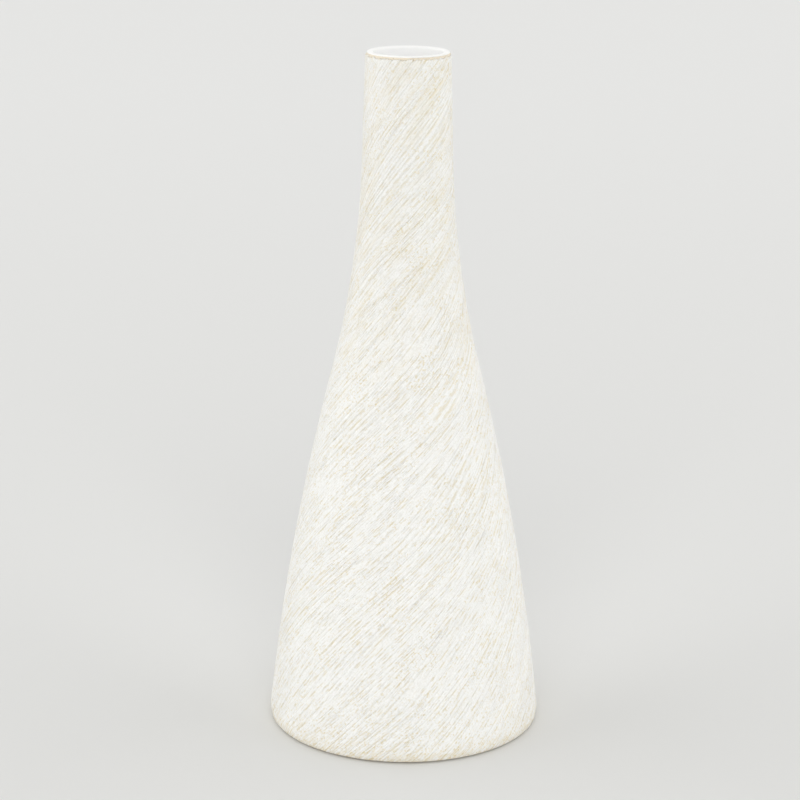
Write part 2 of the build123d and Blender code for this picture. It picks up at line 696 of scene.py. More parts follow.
@dataclass(frozen=True)
class CombedSlip(Finish):
    """White slip, with buff clay showing along its grooves, in pits and at both edges; painted
    shade greys its lines and neck, and a painted highlight lifts its burrs.
    """

    name: str = "combed_white_slip"
    color: Color = (0.930, 0.929, 0.911, 1.0)
    roughness: float = 0.62
    buff: Color = (0.74, 0.635, 0.40, 1.0)
    # Grey that the random speckle leans to, and also the colour of the painted shade in the lines
    # and on the neck.
    shade: Color = (0.79, 0.78, 0.735, 1.0)
    tracks: BrushTracks = field(default_factory=BrushTracks)
    bite_share: float = 0.41
    painted_line_shade: float = 0.49
    painted_burr_highlight: float = 0.30
    grain_size: float = 1.1
    grain_depth: float = 0.2 * MM
    grain_range: Range = (0.34, 0.68)
    grain_shades: Range = (0.02, 0.62)
    grain_rise: float = 0.4
    burr_rise: float = 0.2
    pit_drop: float = 0.6
    painted_neck_shade: float = 0.20
    dot_share: float = 0.60
    dot_size: float = 1.5
    dot_range: Range = (0.58, 0.70)
    dot_border: Range = (0.14, 0.02)
    dot_border_shares: Range = (0.12, 0.8)
    dot_patch_size: float = 26.0
    dot_patch_range: Range = (0.52, 0.66)
    dot_foot: Range = (60.0, 10.0)
    stain_size: float = 7.0
    stain_range: Range = (0.40, 0.70)
    stain_heights: Range = (180.0, 330.0)
    stain_shares: Range = (0.04, 0.20)
    foot_share: float = 0.30
    foot_speck_size: float = 1.8
    foot_reach: float = 60.0
    foot_start: float = -24.0
    foot_fade: Range = (1.6, -1.6)
    lip_share: float = 0.40
    lip_speck_size: float = 2.0
    lip_reach: float = -11.0
    lip_start: float = 463.8
    lip_fade: Range = (-0.5, 0.8)

    def material(self) -> bpy.types.Material:
        """Builds the finish.

        Returns:
            Its material.
        """
        material, sheet, shader = self.start()
        place, radius, height = self.own_place(sheet)
        track = sheet.add("ShaderNodeAttribute", attribute_name=TRACK_ATTRIBUTE)
        track = sheet.vector("NORMALIZE", track.outputs["Vector"])
        spot = self.tracks.place(sheet, track, radius, height)
        groove = self.tracks.lines(sheet, spot, self.tracks.grooves)
        hair = self.tracks.lines(sheet, spot, self.tracks.hairs)
        dots = self.dots(sheet, place, spot)
        grain = sheet.noise(place, self.grain_size, detail=2.0, rough=0.7)
        strength = self.tracks.strength(sheet, height)
        bare = sheet.total(
            sheet.product(sheet.most(groove.bite, hair.bite), strength, self.bite_share),
            sheet.product(dots, self.dot_share),
            self.stains(sheet, spot),
            self.worn_edges(sheet, place, spot),
        )
        # Random grey speckle, plus painted shade in the lines and on the neck and a painted
        # highlight on the burrs.
        speckle_and_painted_shade = sheet.total(
            sheet.ease(grain, *self.grain_range, *self.grain_shades),
            # Painted shade: the neck is greyed toward the shade colour with height, standing in for
            # the dimmer light it gets.
            sheet.ease(height, *self.tracks.neck_range, 0.0, self.painted_neck_shade),
            # Painted shade: the grooves and hair lines are greyed toward the shade colour, standing
            # in for the shadow inside them.
            sheet.product(sheet.most(groove.depth, hair.depth), self.painted_line_shade),
            # Painted highlight: the raised burrs beside the lines are lifted back toward the white.
            sheet.product(sheet.most(groove.burr, hair.burr), -self.painted_burr_highlight),
        )
        white = sheet.blend(sheet.limit(speckle_and_painted_shade), self.color, self.shade)
        sheet.feed(shader.inputs["Base Color"], sheet.blend(sheet.limit(bare), white, self.buff))
        pits = sheet.product(sheet.most(dots, hair.depth), self.pit_drop)
        burr = sheet.product(hair.burr, self.burr_rise)
        raised = sheet.math("MULTIPLY_ADD", grain, self.grain_rise, burr)
        self.raise_bump(sheet, shader, sheet.minus(raised, pits), self.grain_depth)
        return material

    def dots(self, sheet: NodeSheet, place: Socket, spot: TrackPlace) -> Socket:
        """Works out the small pits along the foot and where a brush load runs out.

        Args:
            sheet: tree of the finish.
            place: place in millimetres.
            spot: place among the tracks.

        Returns:
            Their depth, from 0 to 1.
        """
        speck = sheet.ease(sheet.noise(place, self.dot_size, detail=1.0), *self.dot_range)
        border = sheet.ease(spot.load_edge, *self.dot_border, *self.dot_border_shares)
        patch = sheet.noise(place, self.dot_patch_size, detail=1.0)
        patch = sheet.ease(patch, *self.dot_patch_range)
        foot = sheet.ease(spot.height, *self.dot_foot)
        return sheet.product(speck, sheet.most(border, patch, foot))

    def stains(self, sheet: NodeSheet, spot: TrackPlace) -> Socket:
        """Soft warm stains where the slip is thin, mostly on the neck."""
        soft = sheet.ease(sheet.noise(spot.around, self.stain_size, detail=2.0), *self.stain_range)
        return sheet.product(soft, sheet.ease(spot.height, *self.stain_heights, *self.stain_shares))

    def worn_edges(self, sheet: NodeSheet, place: Socket, spot: TrackPlace) -> Socket:
        """Works out where the slip is thin along the lip and the heel.

        Args:
            sheet: tree of the finish.
            place: place in millimetres.
            spot: place among the tracks.

        Returns:
            The share of bare clay.
        """
        specks = sheet.noise(spot.around, self.foot_speck_size, detail=2.0, rough=0.6)
        low = sheet.math("MULTIPLY_ADD", specks, self.foot_reach, self.foot_start)
        foot = sheet.ease(sheet.minus(spot.height, low), *self.foot_fade, 0.0, self.foot_share)
        specks = sheet.noise(place, self.lip_speck_size, detail=2.0, rough=0.6)
        high = sheet.math("MULTIPLY_ADD", specks, self.lip_reach, self.lip_start)
        lip = sheet.ease(sheet.minus(spot.height, high), *self.lip_fade, 0.0, self.lip_share)
        return sheet.total(foot, lip)


@dataclass(frozen=True)
class BuffClay(Finish):
    """Bare fired clay with turning rings, sand and iron flecks, and thin slip over the heel."""

    name: str = "bare_buff_clay"
    color: Color = (0.74, 0.61, 0.42, 1.0)
    roughness: float = 0.8
    pale: Color = (0.84, 0.745, 0.58, 1.0)
    # Slip smeared over the heel; also the colour that the clay over the lip is lightened toward.
    slip: Color = (0.90, 0.885, 0.85, 1.0)
    iron: Color = (0.36, 0.25, 0.16, 1.0)
    iron_share: float = 0.7
    lip_share: float = 0.25
    painted_lip_light_range: Range = (452.0, 456.0)
    heel_radii: Range = (84.0, 88.5)
    heel_heights: Range = (1.0, 3.0)
    sand_size: float = 0.7
    sand_share: float = 0.25
    sand_rise: float = 0.6
    cloud_size: float = 30.0
    cloud_share: float = 0.45
    worn_range: Range = (0.35, 0.65)
    fleck_size: float = 1.3
    fleck_range: Range = (0.70, 0.76)
    smear_size: float = 3.2
    smear_range: Range = (0.44, 0.58)
    smear_share: float = 0.85
    ring_pitch: float = 1.7
    painted_ring_highlight: float = 0.3
    ring_rise: float = 0.5
    ring_waver: float = 1.2
    waver_size: float = 22.0
    band_rate: float = 0.4
    band_seed: float = 3.7
    band_range: Range = (0.3, 0.65)
    band_strengths: Range = (0.2, 1.0)
    relief_depth: float = 0.14 * MM

    def material(self) -> bpy.types.Material:
        """Builds the finish.

        Returns:
            Its material.
        """
        material, sheet, shader = self.start()
        place, radius, height = self.own_place(sheet)
        sand = sheet.noise(place, self.sand_size, detail=2.0, rough=0.65)
        rings = self.rings(sheet, place, radius)
        cloud = sheet.noise(place, self.cloud_size, detail=3.0, rough=0.55)
        # Paler clay in clouds and sand, and a painted highlight that makes the crests of the
        # turning rings paler.
        pale_and_ring_highlight = sheet.total(
            sheet.ease(cloud, *self.worn_range, 0.0, self.cloud_share),
            sheet.product(rings, self.painted_ring_highlight),
            sheet.ease(sand, *self.worn_range, 0.0, self.sand_share),
        )
        body = sheet.blend(sheet.limit(pale_and_ring_highlight), self.color, self.pale)
        fleck = sheet.noise(place, self.fleck_size, detail=1.0)
        fleck = sheet.ease(fleck, *self.fleck_range, 0.0, self.iron_share)
        body = sheet.blend(fleck, body, self.iron)
        smear = sheet.noise(place, self.smear_size, detail=3.0, rough=0.65)
        smear = sheet.ease(smear, *self.smear_range, 0.0, self.smear_share)
        outside = sheet.ease(radius, *self.heel_radii)
        above = sheet.ease(height, *self.heel_heights)
        # Over the lip the clay is mixed toward the slip colour: partly the lip's lighter tan,
        # partly a painted light that lifts the shade in the crevice under the glaze edge.
        lip = sheet.ease(height, *self.painted_lip_light_range, 0.0, self.lip_share)
        share = sheet.most(sheet.product(smear, outside, above), lip)
        sheet.feed(shader.inputs["Base Color"], sheet.blend(share, body, self.slip))
        grit = sheet.product(sand, self.sand_rise)
        relief = sheet.math("MULTIPLY_ADD", rings, self.ring_rise, grit)
        self.raise_bump(sheet, shader, relief, self.relief_depth)
        return material

    def rings(self, sheet: NodeSheet, place: Socket, radius: Socket) -> Socket:
        """Works out the rings that the turning tool leaves, uneven in strength.

        Args:
            sheet: tree of the finish.
            place: place in millimetres.
            radius: distance from the axis.

        Returns:
            Their height, from 0 to 1.
        """
        waver = sheet.product(sheet.noise(place, self.waver_size, detail=1.0), self.ring_waver)
        turns = sheet.product(sheet.total(radius, waver), 2 * math.pi / self.ring_pitch)
        ring = sheet.ease(sheet.math("SINE", turns), -1.0, 1.0)
        step = sheet.product(radius, self.band_rate)
        band = sheet.noise(sheet.join(step, 0.0, self.band_seed), 1.0, detail=2.0)
        return sheet.product(ring, sheet.ease(band, *self.band_range, *self.band_strengths))


@dataclass(frozen=True)
class LinerGlaze(Finish):
    """Smooth bright glaze, a touch warm where it pools and where it thins over the lip."""

    name: str = "white_liner_glaze"
    color: Color = (0.985, 0.985, 0.979, 1.0)
    roughness: float = 0.42
    pooled: Color = (0.975, 0.973, 0.962, 1.0)
    thin: Color = (0.945, 0.942, 0.925, 1.0)
    crown: Range = (457.5, 459.4)
    shine: float = 0.06
    pool_size: float = 24.0
    pool_range: Range = (0.4, 0.7)
    ripple_size: float = 6.0
    ripple_depth: float = 0.05 * MM

    def material(self) -> bpy.types.Material:
        """Builds the finish.

        Returns:
            Its material.
        """
        material, sheet, shader = self.start()
        shader.inputs["Specular IOR Level"].default_value = self.shine
        place, _, height = self.own_place(sheet)
        pool = sheet.ease(sheet.noise(place, self.pool_size, detail=2.0), *self.pool_range)
        body = sheet.blend(pool, self.color, self.pooled)
        crown = sheet.ease(height, *self.crown)
        sheet.feed(shader.inputs["Base Color"], sheet.blend(crown, body, self.thin))
        ripple = sheet.noise(place, self.ripple_size, detail=1.0)
        self.raise_bump(sheet, shader, ripple, self.ripple_depth)
        return material


@dataclass(frozen=True)
class WoolFelt(Finish):
    """Pressed wool felt with loose fibres."""

    name: str = "pressed_wool_felt"
    color: Color = (0.42, 0.39, 0.35, 1.0)
    roughness: float = 0.95
    light: Color = (0.58, 0.55, 0.50, 1.0)
    sheen: float = 0.3
    fibre_size: float = 0.6
    fibre_range: Range = (0.35, 0.65)
    fibre_depth: float = 0.25 * MM

    def material(self) -> bpy.types.Material:
        """Builds the finish.

        Returns:
            Its material.
        """
        material, sheet, shader = self.start()
        shader.inputs["Sheen Weight"].default_value = self.sheen
        place, _, _ = self.own_place(sheet)
        fibre = sheet.noise(place, self.fibre_size, detail=4.0, rough=0.7)
        share = sheet.ease(fibre, *self.fibre_range)
        sheet.feed(shader.inputs["Base Color"], sheet.blend(share, self.color, self.light))
        self.raise_bump(sheet, shader, fibre, self.fibre_depth)
        return material


@dataclass(frozen=True)
class PaleFloor(Finish):
    """Plain pale paper that the vase stands on, a little lighter far behind it."""

    name: str = "pale_paper"
    color: Color = (0.783, 0.783, 0.768, 1.0)
    roughness: float = 0.9
    far: Color = (0.823, 0.823, 0.811, 1.0)
    fade: Range = (-500.0, 3000.0)

    def material(self) -> bpy.types.Material:
        """Builds the finish.

        Returns:
            Its material.
        """
        material, sheet, shader = self.start()
        shader.inputs["Specular IOR Level"].default_value = 0.0
        place, _, _ = self.own_place(sheet)
        share = sheet.ease(sheet.split(place)[1], *self.fade)
        sheet.feed(shader.inputs["Base Color"], sheet.blend(share, self.color, self.far))
        return material


def open_tree(name: str, values: dict[str, object]) -> tuple[bpy.types.NodeTree, NodeSheet]:
    """Starts the tree of a piece, with an input for each named value.

    Args:
        name: name of the tree.
        values: values by name, whose types set the types of the inputs.

    Returns:
        The tree and a sheet for its nodes.
    """
    tree = bpy.data.node_groups.new(name, "GeometryNodeTree")
    tree.interface.new_socket("Piece", in_out="OUTPUT", socket_type="NodeSocketGeometry")
    kinds = {float: "NodeSocketFloat", int: "NodeSocketInt", tuple: "NodeSocketVector"}
    for key, value in values.items():
        tree.interface.new_socket(key, in_out="INPUT", socket_type=kinds[type(value)])
    return tree, NodeSheet(tree)


def unit_grid(sheet: NodeSheet, columns: Socket, rows: Socket) -> Socket:
    """Adds a grid of one by one about the origin.

    Args:
        sheet: tree of a piece.
        columns: number of faces across.
        rows: number of faces up.

    Returns:
        The socket of the grid's mesh.
    """
    grid = sheet.add("GeometryNodeMeshGrid")
    sheet.feed(grid.inputs["Size X"], 1.0)
    sheet.feed(grid.inputs["Size Y"], 1.0)
    sheet.feed(grid.inputs["Vertices X"], sheet.total(columns, 1.0))
    sheet.feed(grid.inputs["Vertices Y"], sheet.total(rows, 1.0))
    return grid.outputs["Mesh"]


def finish_tree(
    sheet: NodeSheet, shape: Socket, place: Socket, material: bpy.types.Material
) -> None:
    """Ends a tree: moves the grid's points, closes its seams and gives it its finish.

    Args:
        sheet: tree of a piece.
        shape: socket of the grid.
        place: where each of its points goes.
        material: finish of the piece.
    """
    placed = sheet.add("GeometryNodeSetPosition")
    sheet.feed(placed.inputs["Geometry"], shape)
    sheet.feed(placed.inputs["Position"], place)
    closed = sheet.add("GeometryNodeMergeByDistance")
    sheet.feed(closed.inputs["Geometry"], placed.outputs[0])
    closed.inputs["Distance"].default_value = SEAM_GAP
    smooth = sheet.add("GeometryNodeSetShadeSmooth")
    sheet.feed(smooth.inputs[0], closed.outputs[0])
    real = sheet.add("GeometryNodeRealizeInstances")
    sheet.feed(real.inputs[0], smooth.outputs[0])
    dressed = sheet.add("GeometryNodeSetMaterial")
    sheet.feed(dressed.inputs["Geometry"], real.outputs[0])
    dressed.inputs["Material"].default_value = material
    sheet.feed(sheet.add("NodeGroupOutput").inputs[0], dressed.outputs[0])


def grown_piece(name: str, tree: bpy.types.NodeTree, values: dict[str, object]) -> bpy.types.Object:
    """Grows a piece from a tree.

    Args:
        name: name of the piece.
        tree: tree that makes it.
        values: its inputs, by name.

    Returns:
        The piece, a plain mesh.
    """
    start = bpy.data.objects.new("start", bpy.data.meshes.new("start"))
    bpy.context.scene.collection.objects.link(start)
    modifier = start.modifiers.new("grow", "NODES")
    modifier.node_group = tree
    for item in tree.interface.items_tree:
        if item.in_out == "INPUT":
            modifier[item.identifier] = values[item.name]
    graph = bpy.context.evaluated_depsgraph_get()
    mesh = bpy.data.meshes.new_from_object(start.evaluated_get(graph))
    bpy.data.objects.remove(start)
    mesh.name = name
    piece = bpy.data.objects.new(name, mesh)
    bpy.context.scene.collection.objects.link(piece)
    return piece


@dataclass
class SlipCoat:
    """The combed coat: a closed skin whose columns of faces follow the brush strokes."""

    wall: VaseWall = field(default_factory=VaseWall)
    tracks: BrushTracks = field(default_factory=BrushTracks)
    finish: CombedSlip = field(default_factory=CombedSlip)
    node: str = "combed_slip_coat"
    columns: int = 960
    outer_rows: int = 84
    inner_rows: int = 14
    edge_rows: int = 3
    edge_step: float = 0.7 * MM
    thickness: float = 0.8 * MM
    groove_depth: float = 0.52 * MM
    burr_share: float = 0.25
    wave_height: float = 0.16 * MM
    wave_size: float = 24.0
    wave_stretch: float = 2.5
    feather: float = 0.9 * MM
    top: float = 458.7 * MM
    heel_wrap: float = 6.0 * MM
    heel_relief: float = 0.3
    heel_relief_end: float = 4.0 * MM
    ragged: float = 0.6 * MM
    notch_range: Range = (0.34, 0.62)
    top_zone: Range = (436 * MM, 450 * MM)
    top_girth: float = 28.0
    top_notch: float = 3.0
    heel_zone: Range = (10 * MM, -2 * MM)
    heel_girth: float = 92.0
    heel_notch: float = 2.4
    solve_steps: int = 4

    def values(self) -> dict[str, object]:
        """Lists the named inputs of the coat's tree.

        Returns:
            Their values, by name.
        """
        wall = self.wall
        values: dict[str, object] = {
            "Height": wall.height,
            "Mouth Radius": wall.mouth_radius,
            "Neck Taper": wall.neck_taper,
            "Neck End": wall.neck_end,
            "Shoulder Height": wall.shoulder_height,
            "Foot Lean": wall.foot_lean,
            "Foot End": wall.foot_end,
            "Thickness": self.thickness,
            "Groove Depth": self.groove_depth,
            "Wave Height": self.wave_height,
            "Feather": self.feather,
            "Top": self.top,
            "Heel Wrap": self.heel_wrap,
            "Ragged": self.ragged,
            "Edge Step": self.edge_step,
            "Columns": self.columns,
            "Outer Rows": self.outer_rows,
            "Inner Rows": self.inner_rows,
            "Edge Rows": self.edge_rows,
        }
        arcs = {
            "Flare": (wall.flare_radius, *wall.flare_center),
            "Belly": (wall.belly_radius, *wall.belly_center),
            "Heel": (wall.heel_radius, *wall.heel_center),
        }
        for name, sizes in arcs.items():
            for part, size in zip(("Radius", "Center Radius", "Center Height"), sizes):
                values[f"{name} {part}"] = size
        return values

    def build(self) -> bpy.types.Object:
        """Builds the coat and dresses it.

        Returns:
            The finished piece, a plain mesh.
        """
        tree = self.grow_tree(self.finish.material())
        piece = grown_piece("brushed_slip_coat", tree, self.values())
        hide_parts(self.node)
        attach(piece, "root")
        return piece

    def grow_tree(self, material: bpy.types.Material) -> bpy.types.NodeTree:
        """Grows the tree that makes the coat.

        Args:
            material: finish of the coat.

        Returns:
            The tree.
        """
        tree, sheet = open_tree("slip_coat", self.values())
        given = sheet.add("NodeGroupInput").outputs
        rows = sheet.total(given["Outer Rows"], given["Inner Rows"])
        grid = unit_grid(sheet, given["Columns"], rows)
        across, up, _ = sheet.split(sheet.add("GeometryNodeInputPosition").outputs[0])
        stroke = sheet.product(sheet.total(across, 0.5), 2 * math.pi)
        row = sheet.math("ROUND", sheet.product(sheet.total(up, 0.5), rows))
        track = sheet.join(sheet.math("COSINE", stroke), sheet.math("SINE", stroke))
        run, outside = self.run_along(sheet, given, row, track)
        lean, radius, height = self.outline(sheet, given, run)
        depth = self.depth(sheet, given, run, outside, track, radius, height)
        radius = sheet.math("MULTIPLY_ADD", depth, sheet.math("COSINE", lean), radius)
        raised = sheet.math("MULTIPLY_ADD", depth, sheet.math("SINE", lean), height)
        angle = self.angle(sheet, given, stroke, radius, height)
        x = sheet.product(radius, sheet.math("SINE", angle))
        y = sheet.product(radius, sheet.math("COSINE", angle), -1.0)
        stored = sheet.add("GeometryNodeStoreNamedAttribute", data_type="FLOAT_VECTOR")
        sheet.feed(stored.inputs["Geometry"], grid)
        stored.inputs["Name"].default_value = TRACK_ATTRIBUTE
        sheet.feed(stored.inputs["Value"], track)
        finish_tree(sheet, stored.outputs[0], sheet.join(x, y, raised), material)
        return tree

    def run_along(
        self, sheet: NodeSheet, given: bpy.types.NodeOutputs, row: Socket, track: Socket
    ) -> tuple[Socket, Socket]:
        """Finds how far up the wall each row of points lies.

        Args:
            sheet: tree of the coat.
            given: the tree's inputs.
            row: number of the row, up the outside and down the inside again.
            track: direction of the stroke, which the ragged edges follow.

        Returns:
            The run up the wall from the heel, below 0 round the heel, and 1 on the outside.
        """
        outer = given["Outer Rows"]
        outside = sheet.math("LESS_THAN", row, sheet.minus(outer, 0.5))
        outside = sheet.product(outside, sheet.math("GREATER_THAN", row, 0.5))
        back = sheet.minus(sheet.total(outer, given["Inner Rows"]), row)
        inner_place = sheet.product(back, sheet.math("DIVIDE", outer, given["Inner Rows"]))
        place = sheet.math("MINIMUM", row, inner_place)
        edge = given["Edge Rows"]
        first = sheet.math("MINIMUM", place, edge)
        last = sheet.most(sheet.minus(place, sheet.minus(outer, edge)), 0.0)
        middle = sheet.minus(place, first, last)
        edge_run = sheet.product(edge, given["Edge Step"], 2.0)
        whole = sheet.total(sheet.minus(given["Top"], given["Foot End"]), given["Heel Wrap"])
        open_rows = sheet.minus(outer, sheet.product(edge, 2.0))
        step = sheet.math("DIVIDE", sheet.minus(whole, edge_run), open_rows)
        ends = sheet.product(sheet.total(first, last), given["Edge Step"])
        run = sheet.minus(sheet.math("MULTIPLY_ADD", middle, step, ends), given["Heel Wrap"])
        top = sheet.vector("SCALE", track, self.top_girth)
        notch = sheet.noise(top, self.top_notch, detail=2.0, rough=0.6)
        notch = sheet.ease(notch, *self.notch_range)
        drop = sheet.product(notch, given["Ragged"], sheet.ease(run, *self.top_zone), 2.0)
        heel = sheet.vector("SCALE", track, self.heel_girth)
        notch = sheet.noise(heel, self.heel_notch, detail=2.0, rough=0.6)
        lift = sheet.product(notch, given["Ragged"], sheet.ease(run, *self.heel_zone))
        return sheet.total(sheet.minus(run, drop), lift), outside

    def outline(
        self, sheet: NodeSheet, given: bpy.types.NodeOutputs, run: Socket
    ) -> tuple[Socket, Socket, Socket]:
        """Works out the finished outside of the pot.

        Args:
            sheet: tree of the coat.
            given: the tree's inputs.
            run: run up the wall, below 0 round the heel.

        Returns:
            The lean of the surface, its radius and its height.
        """
        height = sheet.total(given["Foot End"], sheet.most(run, 0.0))
        turn = sheet.math("DIVIDE", sheet.math("MINIMUM", run, 0.0), given["Heel Radius"])
        heel_lean = sheet.total(given["Foot Lean"], turn)
        rise = sheet.minus(height, given["Belly Center Height"])
        belly_lean = sheet.math("ARCSINE", sheet.math("DIVIDE", rise, given["Belly Radius"]))
        drop = sheet.minus(given["Flare Center Height"], height)
        flare_sine = sheet.math("DIVIDE", drop, given["Flare Radius"])
        flare_lean = sheet.math("ARCSINE", sheet.math("MINIMUM", flare_sine, 1.0))
        belly = sheet.product(given["Belly Radius"], sheet.math("COSINE", belly_lean))
        belly = sheet.total(given["Belly Center Radius"], belly)
        flare = sheet.product(given["Flare Radius"], sheet.math("COSINE", flare_lean))
        flare = sheet.minus(given["Flare Center Radius"], flare)
        neck = sheet.product(
            sheet.minus(given["Height"], height), sheet.math("TANGENT", given["Neck Taper"])
        )
        neck = sheet.total(given["Mouth Radius"], neck)
        heel_radius = sheet.product(given["Heel Radius"], sheet.math("COSINE", heel_lean))
        heel_radius = sheet.total(given["Heel Center Radius"], heel_radius)
        heel_height = sheet.product(given["Heel Radius"], sheet.math("SINE", heel_lean))
        heel_height = sheet.total(given["Heel Center Height"], heel_height)
        on_flare = sheet.math("GREATER_THAN", height, given["Shoulder Height"])
        on_neck = sheet.math("GREATER_THAN", height, given["Neck End"])
        on_heel = sheet.math("LESS_THAN", run, 0.0)
        lean = self.choose(sheet, on_flare, belly_lean, flare_lean)
        lean = self.choose(sheet, on_neck, lean, given["Neck Taper"])
        lean = self.choose(sheet, on_heel, lean, heel_lean)
        radius = self.choose(sheet, on_flare, belly, flare)
        radius = self.choose(sheet, on_neck, radius, neck)
        radius = self.choose(sheet, on_heel, radius, heel_radius)
        return lean, radius, self.choose(sheet, on_heel, height, heel_height)

    @staticmethod
    def choose(sheet: NodeSheet, second: Socket, if_not: Socket, if_so: Socket) -> Socket:
        """Chooses between two values.

        Args:
            sheet: tree of the coat.
            second: 1 where the second value holds.
            if_not: first value.
            if_so: second value.

        Returns:
            The chosen value's socket.
        """
        node = sheet.add("ShaderNodeMix", data_type="FLOAT")
        sheet.feed(node.inputs[0], second)
        sheet.feed(node.inputs[2], if_not)
        sheet.feed(node.inputs[3], if_so)
        return node.outputs[0]

    def depth(
        self,
        sheet: NodeSheet,
        given: bpy.types.NodeOutputs,
        run: Socket,
        outside: Socket,
        track: Socket,
        radius: Socket,
        height: Socket,
    ) -> Socket:
        """Works out the relief: grooves along the strokes, a slow wave, and feathered edges.

        Args:
            sheet: tree of the coat.
            given: the tree's inputs.
            run: run up the wall.
            outside: 1 on the outside, 0 where the coat lies on the clay.
            track: direction of the stroke.
            radius: radius of the finished outside.
            height: its height.

        Returns:
            How far each point stands out of the finished outside, below 0 inside it.
        """
        radius_mm = sheet.product(radius, 1 / MM)
        height_mm = sheet.product(height, 1 / MM)
        spot = self.tracks.place(sheet, track, radius_mm, height_mm)
        groove = self.tracks.lines(sheet, spot, self.tracks.grooves)
        cut = sheet.math("MULTIPLY_ADD", groove.burr, -self.burr_share, groove.depth)
        cosine, sine, _ = sheet.split(track)
        around = sheet.join(
            sheet.product(radius_mm, cosine),
            sheet.product(radius_mm, sine),
            sheet.product(height_mm, 1 / self.wave_stretch),
        )
        wave = sheet.minus(sheet.noise(around, self.wave_size, detail=1.0), 0.5)
        relief = sheet.product(wave, given["Wave Height"], 2.0)
        strength = self.tracks.strength(sheet, height_mm)
        relief = sheet.minus(relief, sheet.product(cut, strength, given["Groove Depth"]))
        lowest = sheet.product(given["Heel Wrap"], -1.0)
        shallow = sheet.ease(run, lowest, self.heel_relief_end, self.heel_relief, 1.0)
        relief = sheet.product(relief, shallow)
        highest = sheet.minus(given["Top"], given["Foot End"])
        from_heel = sheet.ease(run, lowest, sheet.total(lowest, given["Feather"]))
        from_top = sheet.ease(run, highest, sheet.minus(highest, given["Feather"]))
        full = sheet.product(outside, from_heel, from_top)
        return self.choose(sheet, full, sheet.product(given["Thickness"], -1.0), relief)

    def angle(
        self,
        sheet: NodeSheet,
        given: bpy.types.NodeOutputs,
        stroke: Socket,
        radius: Socket,
        height: Socket,
    ) -> Socket:
        """Finds where round the pot a stroke has got to at a height.

        Args:
            sheet: tree of the coat.
            given: the tree's inputs.
            stroke: angle at which the stroke starts.
            radius: radius of the point.
            height: height of the point.

        Returns:
            The angle from the front, to the right.
        """
        tracks = self.tracks
        share = sheet.math("DIVIDE", height, given["Height"])
        turn = sheet.polynomial(share, tracks.turn_factors())
        band = sheet.math("SINE", sheet.product(share, 2 * math.pi * tracks.band_count))
        swing = sheet.math("DIVIDE", sheet.product(band, tracks.band_swing), radius)
        goal = sheet.total(stroke, turn, swing)
        skew = sheet.ease(share, *tracks.skew_range, tracks.low_skew, tracks.high_skew)
        angle = sheet.math("MULTIPLY_ADD", skew, sheet.math("COSINE", goal), goal)
        for _ in range(self.solve_steps):
            pull = sheet.product(skew, sheet.math("COSINE", angle))
            error = sheet.minus(angle, pull, goal)
            rate = sheet.math("MULTIPLY_ADD", skew, sheet.math("SINE", angle), 1.0)
            angle = sheet.minus(angle, sheet.math("DIVIDE", error, rate))
        return angle


@dataclass
class Pot:
    """The fired pot: its clay body and the glaze that lines it."""

    clay: BuffClay = field(default_factory=BuffClay)
    glaze: LinerGlaze = field(default_factory=LinerGlaze)

    def dress(self) -> list[bpy.types.Object]:
        """Gives the pot's solids their finishes.

        Returns:
            The dressed solids.
        """
        dressed = []
        for name, finish in (("clay_body", self.clay), ("liner_glaze", self.glaze)):
            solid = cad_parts[name]
            solid.data.materials.clear()
            solid.data.materials.append(finish.material())
            dressed.append(solid)
        return dressed


